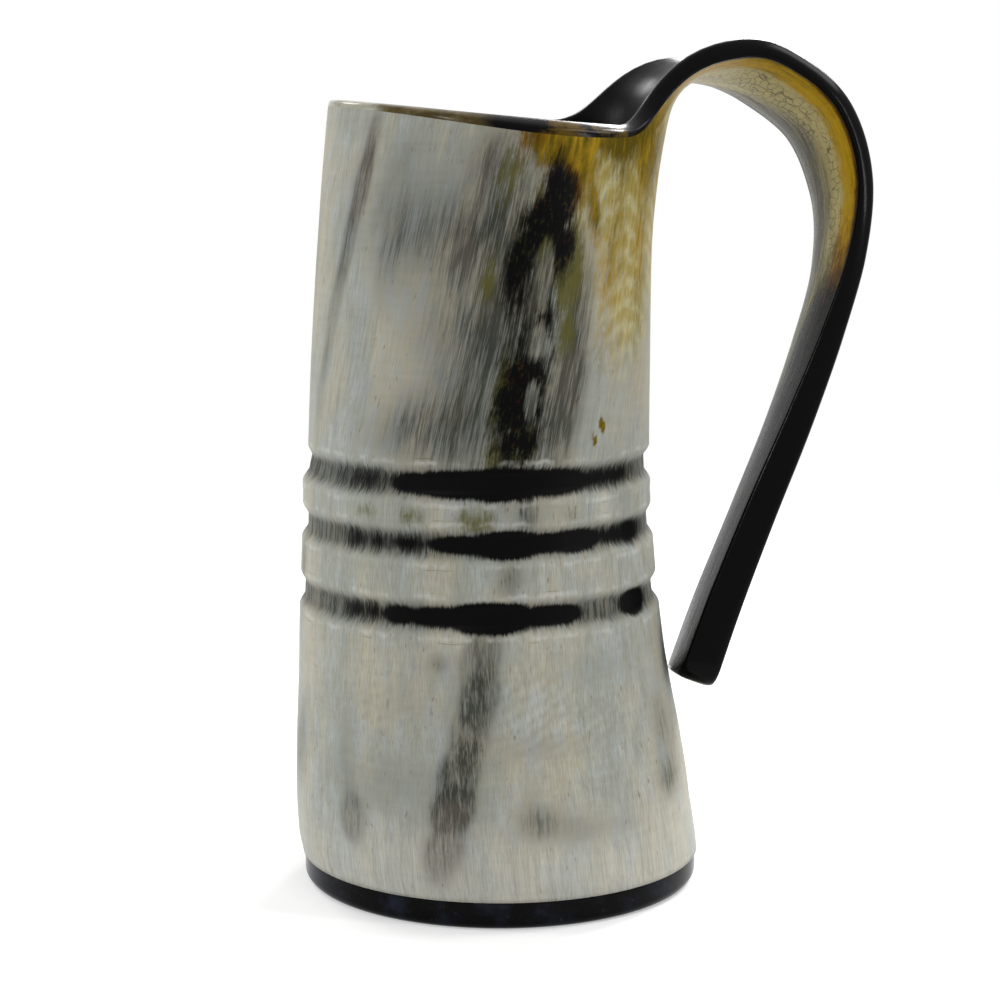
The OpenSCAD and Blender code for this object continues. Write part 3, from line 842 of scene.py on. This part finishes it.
# Colours of the inside, the cut edge, the disc and the glue
INSIDE_DARK = (0.022, 0.016, 0.009)
INSIDE_BROWN = (0.08, 0.06, 0.028)
INSIDE_PALE = (0.19, 0.165, 0.1)
CUT_PALE = (0.33, 0.32, 0.25)
CUT_TAN = (0.16, 0.13, 0.08)
CUT_BROWN = (0.06, 0.042, 0.014)
CUT_FAWN = (0.12, 0.095, 0.045)
HONEY = (0.085, 0.05, 0.006)
DISC_BLUE_SHEEN = (0.01, 0.012, 0.022)
DISC_FLECK = (0.035, 0.025, 0.018)
GLUE_PALE = (0.36, 0.24, 0.08)
GLUE_DARK = (0.2, 0.12, 0.04)

# Share of the light that a surface mirrors, low where white surroundings would grey the black
SKIN_SPECULAR = 0.045
DARK_SPECULAR = 0.06
GLUE_SPECULAR = 0.5


# Fibre noises that already swing about 0
SWINGS = ("hair", "fringe", "patch")


def horn_fibres(g):
    """Fibre noises that the horn's materials share, from fine to broad, some of them sharpened."""
    grain = g.field("grain", "Vector")
    fibre = g.scaled(grain, (1, 1, 0.04))
    cloud = g.scaled(grain, (1, 1, 0.4))
    f = {
        "grain": grain,
        "fine": g.ramp(g.noise(fibre, 0.24 * MM, 2, 0.6), 0.3, 0.7),
        "middle": g.ramp(g.noise(fibre, 0.9 * MM, 3, 0.65), 0.3, 0.7),
        "tuft": g.ramp(g.noise(g.scaled(grain, (1, 1, 0.22)), 0.5 * MM, 2, 0.6), 0.3, 0.7),
        "strand": g.noise(g.scaled(grain, (1, 1, 0.06)), 1.8 * MM, 3, 0.6),
        "broad": g.noise(cloud, 12 * MM, 3, 0.6),
        "blotch": g.noise(cloud, 4 * MM, 4, 0.65),
        "wisp": g.noise(cloud, 1.8 * MM, 5, 0.75),
    }
    f["hair"] = varied(g, f, 0, fine=0.3, middle=0.25, tuft=0.25)
    f["fringe"] = varied(g, f, 0, fine=0.22, tuft=0.22, wisp=0.5)
    f["patch"] = g.centred(f["blotch"], 1.2)
    return f


def varied(g, f, value, **amounts):
    """The value with fibre noises added, each swinging up and down by its amount."""
    swings = [g.times(f[name], amount) if name in SWINGS else g.centred(f[name], amount)
              for name, amount in amounts.items()]
    return g.add(value, *swings)


def yellow_horn(g, f, color):
    """Yellow horn with growth lines, and amber along the rim and the strap's near edge."""
    yellow = varied(g, f, g.field("yellow"), hair=0.6, patch=0.7)
    wave = varied(g, f, g.field("chevron"), blotch=0.8, broad=2.5)
    wave = g.ramp(g.math("PINGPONG", wave, 0.5), 0.1, 0.5)
    wave = varied(g, f, g.add(g.times(wave, 0.48), 0.4), blotch=1.5, middle=0.4)
    on_strap = g.ramp(g.field("strap"), 0.08, 0.2)
    straw = g.mix(g.ramp(g.between(on_strap, wave, 0.55), 0.1, 0.9), STRAW, IVORY)
    color = g.mix(g.ramp(yellow, -0.1, 0.6, 0, 0.95), color, straw)
    amber = varied(g, f, g.field("amber"), hair=0.6, wisp=1, patch=0.9)
    shade = varied(g, f, g.add(0.45, g.times(on_strap, 0.5)), middle=0.35, wisp=1.2, broad=1.5)
    gold = g.mix(g.ramp(shade, 0.15, 1), DEEP_AMBER, AMBER)
    return g.mix(g.ramp(amber, -0.35, 0.4), color, gold)


def dark_horn(g, f, color):
    """Grey clouds, brown fringes and black patches, all drawn out along the fibres."""
    haze = varied(g, f, 1, fine=0.55, middle=0.4, strand=0.9, wisp=0.45, patch=0.6)
    haze = g.ramp(g.times(g.field("smoke"), haze), 0, 1, 0, 0.93)
    warm = g.ramp(varied(g, f, g.field("warm"), broad=1.2), 0.2, 0.7)
    color = g.mix(haze, color, g.mix(warm, SMOKE, MAUVE))
    brown = varied(g, f, g.field("brown"), hair=0.8, wisp=1.2, patch=0.8)
    fringe = g.mix(g.ramp(g.field("amber"), -0.6, 0.2), OLIVE, BURNT)
    color = g.mix(g.ramp(brown, 0, 0.8, 0, 0.85), color, fringe)
    fleck = g.noise(g.scaled(f["grain"], (1, 1, 0.5)), 0.7 * MM, 3, 0.7)
    tint = g.mix(g.ramp(f["blotch"], 0.45, 0.55), RED_BROWN, MOSS)
    mottle = g.mix(g.ramp(fleck, 0.53, 0.72), BLACK, tint)
    black = varied(g, f, g.field("black"), hair=0.7, wisp=1.1, patch=0.6)
    return g.mix(g.ramp(black, -0.35, 0.5), color, mottle)


def groove_horn(g, f, color):
    """Dark floors of the grooves with black lenses, pale broken lines on their lips, and thin
    cracks beside them.
    """
    groove = varied(g, f, g.field("groove"), fringe=0.6, patch=0.2)
    color = g.mix(g.ramp(groove, -0.05, 0.7, 0, 0.55), color, SMOKE)
    streak = g.ramp(varied(g, f, f["middle"], fine=0.6), 0.2, 0.9, 0.2, 1)
    color = g.mix(g.times(g.ramp(groove, 0.15, 0.7, 0, 0.85), streak), color, SMOKE)
    lens = varied(g, f, g.field("lens"), fringe=0.45, patch=0.25)
    color = g.mix(g.ramp(lens, -0.12, 0.3), color, BLACK)
    # Pale broken lines along the grooves' lips
    lip = g.math("ABSOLUTE", varied(g, f, g.add(g.field("groove"), 0.1), blotch=0.7, wisp=0.2))
    lip_patches = g.ramp(varied(g, f, f["blotch"], broad=0.8), 0.4, 0.65)
    color = g.mix(g.times(g.ramp(lip, 0, 0.22, 0.5, 0), lip_patches), color, PALE_WASH)
    beside = g.math("ABSOLUTE", varied(g, f, g.add(g.field("groove"), 0.28), broad=0.8))
    crack = g.times(g.ramp(beside, 0.005, 0.035, 1, 0), g.ramp(f["broad"], 0.54, 0.6))
    return g.mix(g.times(crack, 0.5), color, OLIVE)


def skin_color(g, f):
    """Colour of the horn's outer skin, paler near the foot with painted light bounced from the
    floor, and rippled by growth lines.
    """
    color = g.mix(g.ramp(f["broad"], 0.38, 0.62), PALE_GREY, PALE_CREAM)
    color = g.mix(g.ramp(f["blotch"], 0.45, 0.7, 0, 0.6), color, PALE_BLUE)
    level = g.node("SeparateXYZ", {"Vector": f["grain"]}).outputs["Z"]
    # Painted light: the wall is lightened towards the foot, as if by light bounced up from the
    # floor
    color = g.mix(g.ramp(level, 2 * MM, 22 * MM, 0.35, 0), color, PALE_WASH)
    color = yellow_horn(g, f, color)
    rust = g.noise(g.scaled(f["grain"], (1, 1, 0.3)), 0.7 * MM, 1, 0.5)
    color = g.mix(g.ramp(rust, 0.7, 0.78, 0, 0.5), color, RUST)
    color = groove_horn(g, f, dark_horn(g, f, color))
    ripple = g.noise(g.scaled(f["grain"], (0.16, 0.16, 1)), 1.3 * MM, 2, 0.5)
    wave = varied(g, f, g.times(g.field("chevron"), 2), blotch=1.2)
    wave = g.times(g.math("PINGPONG", wave, 0.5), 2)
    wave = g.times(g.field("ripple"), g.centred(wave, 0.13))
    shade = varied(g, f, 0.98, fine=0.22, middle=0.1, strand=0.3, wisp=0.15)
    shade = g.add(shade, g.centred(ripple, 0.16), wave)
    tint = dict.fromkeys(("Red", "Green", "Blue"), shade)
    tint = g.node("CombineColor", tint).outputs[0]
    return g.mix(1, color, tint, "MULTIPLY")


def crazing(g, f):
    """Fine dark cracks across the strap's underside, 1 on a crack."""
    place = g.scaled(f["grain"], (0.7, 0.7, 1.4))
    shift = {"X": g.centred(f["blotch"], 1.5 * MM), "Z": g.centred(f["wisp"], 2.4 * MM)}
    shift = g.node("CombineXYZ", shift).outputs[0]
    moved = g.node("VectorMath", {0: place, 1: shift}, operation="ADD").outputs[0]
    line = g.ramp(g.cell_edges(moved, 1.9 * MM), 0, 0.09, 1, 0)
    strap = g.field("strap")
    along = g.times(g.ramp(strap, 0.14, 0.22), g.ramp(strap, 0.62, 0.75, 1, 0))
    faint = g.ramp(g.field("amber"), -0.4, 0.3, 1, 0.3)
    patchy = g.ramp(f["blotch"], 0.4, 0.55, 0.1, 1)
    return g.times(g.times(line, along), g.times(faint, patchy))


def horn_skin():
    """Outside of the cup and the strap's underside: sanded horn with fibres along it."""
    g = new_material("horn_skin")
    f = horn_fibres(g)
    cracks = crazing(g, f)
    color = g.mix(g.times(cracks, 0.75), skin_color(g, f), CRACK)
    relief = g.add(g.times(f["fine"], 0.4), g.times(f["middle"], 0.2), g.times(f["wisp"], 0.4),
                   g.times(cracks, -0.3))
    polish = g.ramp(g.field("strap"), 0.05, 0.2)
    rough = varied(g, f, g.add(0.45, g.times(polish, -0.18)), middle=0.12, fine=0.12)
    return g.surface(color, rough, g.bump(relief, 0.08 * MM, 0.6), SKIN_SPECULAR)


def horn_inside():
    """Inside of the cup and the strap's top: dark polished horn."""
    g = new_material("horn_inside")
    f = horn_fibres(g)
    brown = g.mix(g.ramp(f["broad"], 0.4, 0.6), INSIDE_DARK, INSIDE_BROWN)
    pale = g.mix(g.ramp(f["middle"], 0.3, 0.9), brown, INSIDE_PALE)
    dark = varied(g, f, g.field("facing"), broad=1.2, middle=0.25)
    color = g.mix(g.ramp(dark, -0.6, 0), pale, BLACK)
    color = g.mix(g.ramp(g.field("strap"), 0.02, 0.12), color, BLACK)
    relief = g.add(f["middle"], g.times(f["fine"], 0.4))
    rough = varied(g, f, 0.32, blotch=0.1, middle=0.04)
    return g.surface(color, rough, g.bump(relief, 0.02 * MM, 0.3), DARK_SPECULAR)


def horn_cut():
    """Rim, foot ring and the strap's edges: polished end grain."""
    g = new_material("horn_cut")
    f = horn_fibres(g)
    pale = g.mix(g.ramp(f["blotch"], 0.45, 0.65, 0, 0.6), CUT_PALE, CUT_TAN)
    brown = g.mix(g.ramp(f["blotch"], 0.4, 0.6), CUT_BROWN, CUT_FAWN)
    facing = varied(g, f, g.field("facing"), blotch=0.25, broad=0.3)
    color = g.mix(g.ramp(facing, -0.85, -0.7), pale, brown)
    night = g.mix(g.ramp(f["blotch"], 0.55, 0.65, 0, 0.8), BLACK, DEEP_AMBER)
    color = g.mix(g.ramp(facing, -0.25, -0.1), color, night)
    honey = varied(g, f, g.field("amber"), blotch=2.5, wisp=1.5)
    color = g.mix(g.ramp(honey, 0.6, 1.3), color, HONEY)
    color = g.mix(g.ramp(g.field("strap"), 0, 0.06), color, BLACK)
    relief = g.add(f["blotch"], g.times(f["tuft"], 0.3))
    rough = varied(g, f, 0.17, blotch=0.08)
    return g.surface(color, rough, g.bump(relief, 0.04 * MM, 0.3), DARK_SPECULAR)


def base_gloss():
    """Turned disc of black horn, polished, with faint rings from the lathe."""
    g = new_material("base_gloss")
    spot = g.node("TexCoord").outputs["Object"]
    parts = g.node("SeparateXYZ", {"Vector": spot}).outputs
    reach = g.add(g.math("POWER", parts["X"], 2), g.math("POWER", parts["Y"], 2))
    line = {"X": g.math("SQRT", reach), "Y": parts["Z"]}
    line = g.node("CombineXYZ", line).outputs[0]
    rings = g.noise(line, 0.5 * MM, 2, 0.6)
    cloud = g.noise(spot, 9 * MM, 3, 0.6)
    fleck = g.noise(g.scaled(spot, (1, 0.15, 1)), 1.2 * MM, 2, 0.6)
    # Bluish clouds in the black disc are a painted blue sheen
    color = g.mix(g.ramp(cloud, 0.45, 0.7), BLACK, DISC_BLUE_SHEEN)
    color = g.mix(g.ramp(fleck, 0.62, 0.8, 0, 0.6), color, DISC_FLECK)
    rough = g.add(0.16, g.centred(cloud, 0.12), g.centred(rings, 0.08))
    return g.surface(color, rough, g.bump(rings, 0.02 * MM, 0.5), DARK_SPECULAR)


def seal_glue():
    """Bead of clear amber glue, wavy as it set."""
    g = new_material("seal_glue")
    spot = g.node("TexCoord").outputs["Object"]
    cloud = g.noise(spot, 5 * MM, 3, 0.6)
    drops = g.noise(spot, 1.5 * MM, 2, 0.5)
    color = g.mix(g.ramp(cloud, 0.35, 0.65), GLUE_PALE, GLUE_DARK)
    rough = g.add(0.18, g.centred(drops, 0.15))
    return g.surface(color, rough, g.bump(drops, 0.15 * MM, 0.6), GLUE_SPECULAR)


def lathe(profile, segments):
    """Points and faces of an outline (radius, height) turned about the Z axis."""
    turn = 2 * np.pi * np.arange(segments) / segments
    radius, height = np.array(profile).T[..., None]
    points = np.stack([radius * np.cos(turn), radius * np.sin(turn), height + 0 * turn], axis=-1)
    ids = np.arange(len(profile) * segments).reshape(-1, segments)
    return points.reshape(-1, 3), quads(ring(ids))


def arc(centre, radius, start, stop, steps):
    turns = np.radians(np.linspace(start, stop, steps))
    return [(centre[0] + radius * cos(t), centre[1] + radius * sin(t)) for t in turns]


def build_horn():
    points, facts, faces, zones = horn_shape()
    points = drawn_in(points, "horn_body")
    materials = [horn_skin(), horn_inside(), horn_cut()]
    piece = new_mesh_object("horn_mug", points, faces.tolist(), materials, zones)
    paint_horn(piece, facts)
    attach(piece, "root")
    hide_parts("horn_body")


def disc_profile():
    """Outline of the disc with its spigot, from near the middle of the underside to the top."""
    radius = FOOT_RADIUS - BASE_INSET
    share = SPIGOT_HEIGHT / HORN_HEIGHT
    room = float(wall_radius(share) + wall_shift(share)) - WALL
    spigot = min(FOOT_RADIUS - WALL, room) - FIT_GAP
    top = BASE_THICKNESS + SPIGOT_HEIGHT
    rim = BASE_THICKNESS - DISC_EASING
    profile = [(DISC_CORE, 0), (radius * UNDER_RING_SHARE, 0),
               (radius - BASE_ROUND * ROUND_MARGIN, 0)]
    profile += arc((radius - BASE_ROUND, BASE_ROUND), BASE_ROUND, -90, 0, ROUND_STEPS)
    profile += arc((radius - DISC_EASING, rim), DISC_EASING, 0, 90, EASING_STEPS)
    profile += [(spigot, BASE_THICKNESS), (spigot, top - DISC_EASING)]
    profile += arc((spigot - DISC_EASING, top - DISC_EASING), DISC_EASING, 0, 90, EASING_STEPS)
    return profile + [(spigot * TOP_RING_SHARE, top), (DISC_CORE, top)]


def build_base():
    points, faces = lathe(disc_profile(), DISC_SEGMENTS)
    last = len(points) - DISC_SEGMENTS
    caps = [list(range(DISC_SEGMENTS))[::-1], list(range(last, len(points)))]
    piece = new_mesh_object("base_disc_turned", points, faces.tolist() + caps, [base_gloss()])
    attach(piece, "root")
    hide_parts("base_disc")


def build_seal():
    """The bead's concave ring, a little uneven round the cup."""
    share = (SPIGOT_HEIGHT + SEAL_SIZE) / HORN_HEIGHT
    radius = float(wall_radius(share)) - WALL - FIT_GAP
    low = BASE_THICKNESS + SPIGOT_HEIGHT
    inner, high = radius - SEAL_SIZE, low + SEAL_SIZE
    hollow = arc((inner, high), SEAL_SIZE * BEAD_HOLLOW_SHARE, 0, -90, HOLLOW_STEPS)
    profile = [(inner, low), (radius, low), (radius, high)] + hollow + [(inner, low)]
    points, faces = lathe(profile, SEAL_SEGMENTS)
    turn = np.arctan2(points[:, 1], points[:, 0])
    waves = (1 + np.sin(BEAD_SWELLS[0] * turn + 1) * np.sin(BEAD_SWELLS[1] * turn)) / 2
    points[:, 2] = low + (points[:, 2] - low) * (1 - BEAD_SWELL_SHARE * waves)
    points[:, 0] += float(wall_shift(share))
    piece = new_mesh_object("seal_ring", points, faces.tolist(), [seal_glue()])
    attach(piece, "root")
    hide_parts("seal_bead")


# The camera, fitted to the photo's outline: turn to the left (degrees) and distance round the
# cup, heights of the camera and of what it aims at, and the lens and sensor (mm)
CAMERA_TURN = -8
CAMERA_DISTANCE = 0.51
CAMERA_HEIGHT = 0.158
AIM_HEIGHT = 0.07635
LENS = 93.06
SENSOR_WIDTH = 36

WHITE = (1, 1, 1)
FLOOR_REACH = 3
# The floor: its grey, the glow that makes it white, and where it fades into the background
FLOOR_GREY = (0.75, 0.75, 0.75)
FLOOR_GLOW = 0.32
FLOOR_FADE = (0.25, 0.55)
ROOM_LIGHT = 0.45

# Lamps that aim at the cup's middle: place, width and height, power (W)
LAMP_AIM = (0.01, 0, 0.09)
LAMPS = {
    "key": ((-0.7, -0.85, 0.8), (0.18, 0.24), 5.1),
    "fill": ((0.9, -0.5, 0.4), (0.08, 0.6), 3),
    "back_right": ((0.65, 0.62, 0.75), (0.28, 0.22), 8),
    "back_left": ((-0.5, 0.85, 0.75), (0.42, 0.21), 4.5),
    "back_rim": ((0.36, 0.98, 0.55), (0.2, 0.45), 4),
    "right_high": ((0.75, 0.05, 0.92), (0.3, 0.45), 3.5),
    "side": ((-0.95, 0.2, 0.25), (0.06, 0.5), 3),
}


def place_and_aim(name, data, place, aim):
    item = bpy.data.objects.new(name, data)
    bpy.context.collection.objects.link(item)
    item.location = place
    item.rotation_euler = (Vector(aim) - Vector(place)).to_track_quat("-Z", "Y").to_euler()
    return item


def build_camera():
    data = bpy.data.cameras.new("camera")
    data.sensor_width = SENSOR_WIDTH
    data.lens = LENS
    turn = radians(CAMERA_TURN)
    place = (CAMERA_DISTANCE * sin(turn), -CAMERA_DISTANCE * cos(turn), CAMERA_HEIGHT)
    bpy.context.scene.camera = place_and_aim("camera", data, place, (0, 0, AIM_HEIGHT))


def seen_rays(g):
    """1 for the rays that show the background: camera, glossy and transmission."""
    path = g.node("LightPath")
    rays = g.math("MAXIMUM", path.outputs["Is Camera Ray"], path.outputs["Is Glossy Ray"])
    return g.math("MAXIMUM", rays, path.outputs["Is Transmission Ray"])


def build_floor():
    """A pale floor that keeps the cup's shadow and turns into the white background."""
    g = new_material("pale_floor")
    spot = g.node("TexCoord").outputs["Object"]
    away = g.node("VectorMath", {0: spot}, operation="LENGTH").outputs["Value"]
    near = g.node("BsdfDiffuse", {"Color": FLOOR_GREY}).outputs[0]
    seen = seen_rays(g)
    glow = {"Color": WHITE, "Strength": g.times(seen, FLOOR_GLOW)}
    glow = g.node("Emission", glow).outputs[0]
    lit = g.node("AddShader", {0: near, 1: glow}).outputs[0]
    white = g.node("Emission", {"Color": WHITE, "Strength": seen}).outputs[0]
    blend = g.node("MixShader", {0: g.ramp(away, *FLOOR_FADE), 1: lit, 2: white})
    g.node("OutputMaterial", {"Surface": blend.outputs[0]})
    corners = FLOOR_REACH * np.array([(-1, -1, 0), (1, -1, 0), (1, 1, 0), (-1, 1, 0)])
    floor = new_mesh_object("floor", corners, [(0, 1, 2, 3)], [g.owner])


def build_world():
    world = bpy.data.worlds.new("studio")
    bpy.context.scene.world = world
    g = Graph(world)
    level = g.ramp(seen_rays(g), 0, 1, ROOM_LIGHT, 1)
    back = g.node("Background", {"Color": WHITE, "Strength": level})
    g.node("OutputWorld", {"Surface": back.outputs[0]})


def build_lamps():
    for name, (place, size, power) in LAMPS.items():
        data = bpy.data.lights.new(name, "AREA")
        data.shape = "RECTANGLE"
        data.size, data.size_y = size
        data.energy = power
        place_and_aim(name, data, place, LAMP_AIM)


def main():
    build_camera()
    build_floor()
    build_world()
    build_lamps()
    build_horn()
    build_base()
    build_seal()
    bpy.context.scene.view_settings.view_transform = "Standard"


main()
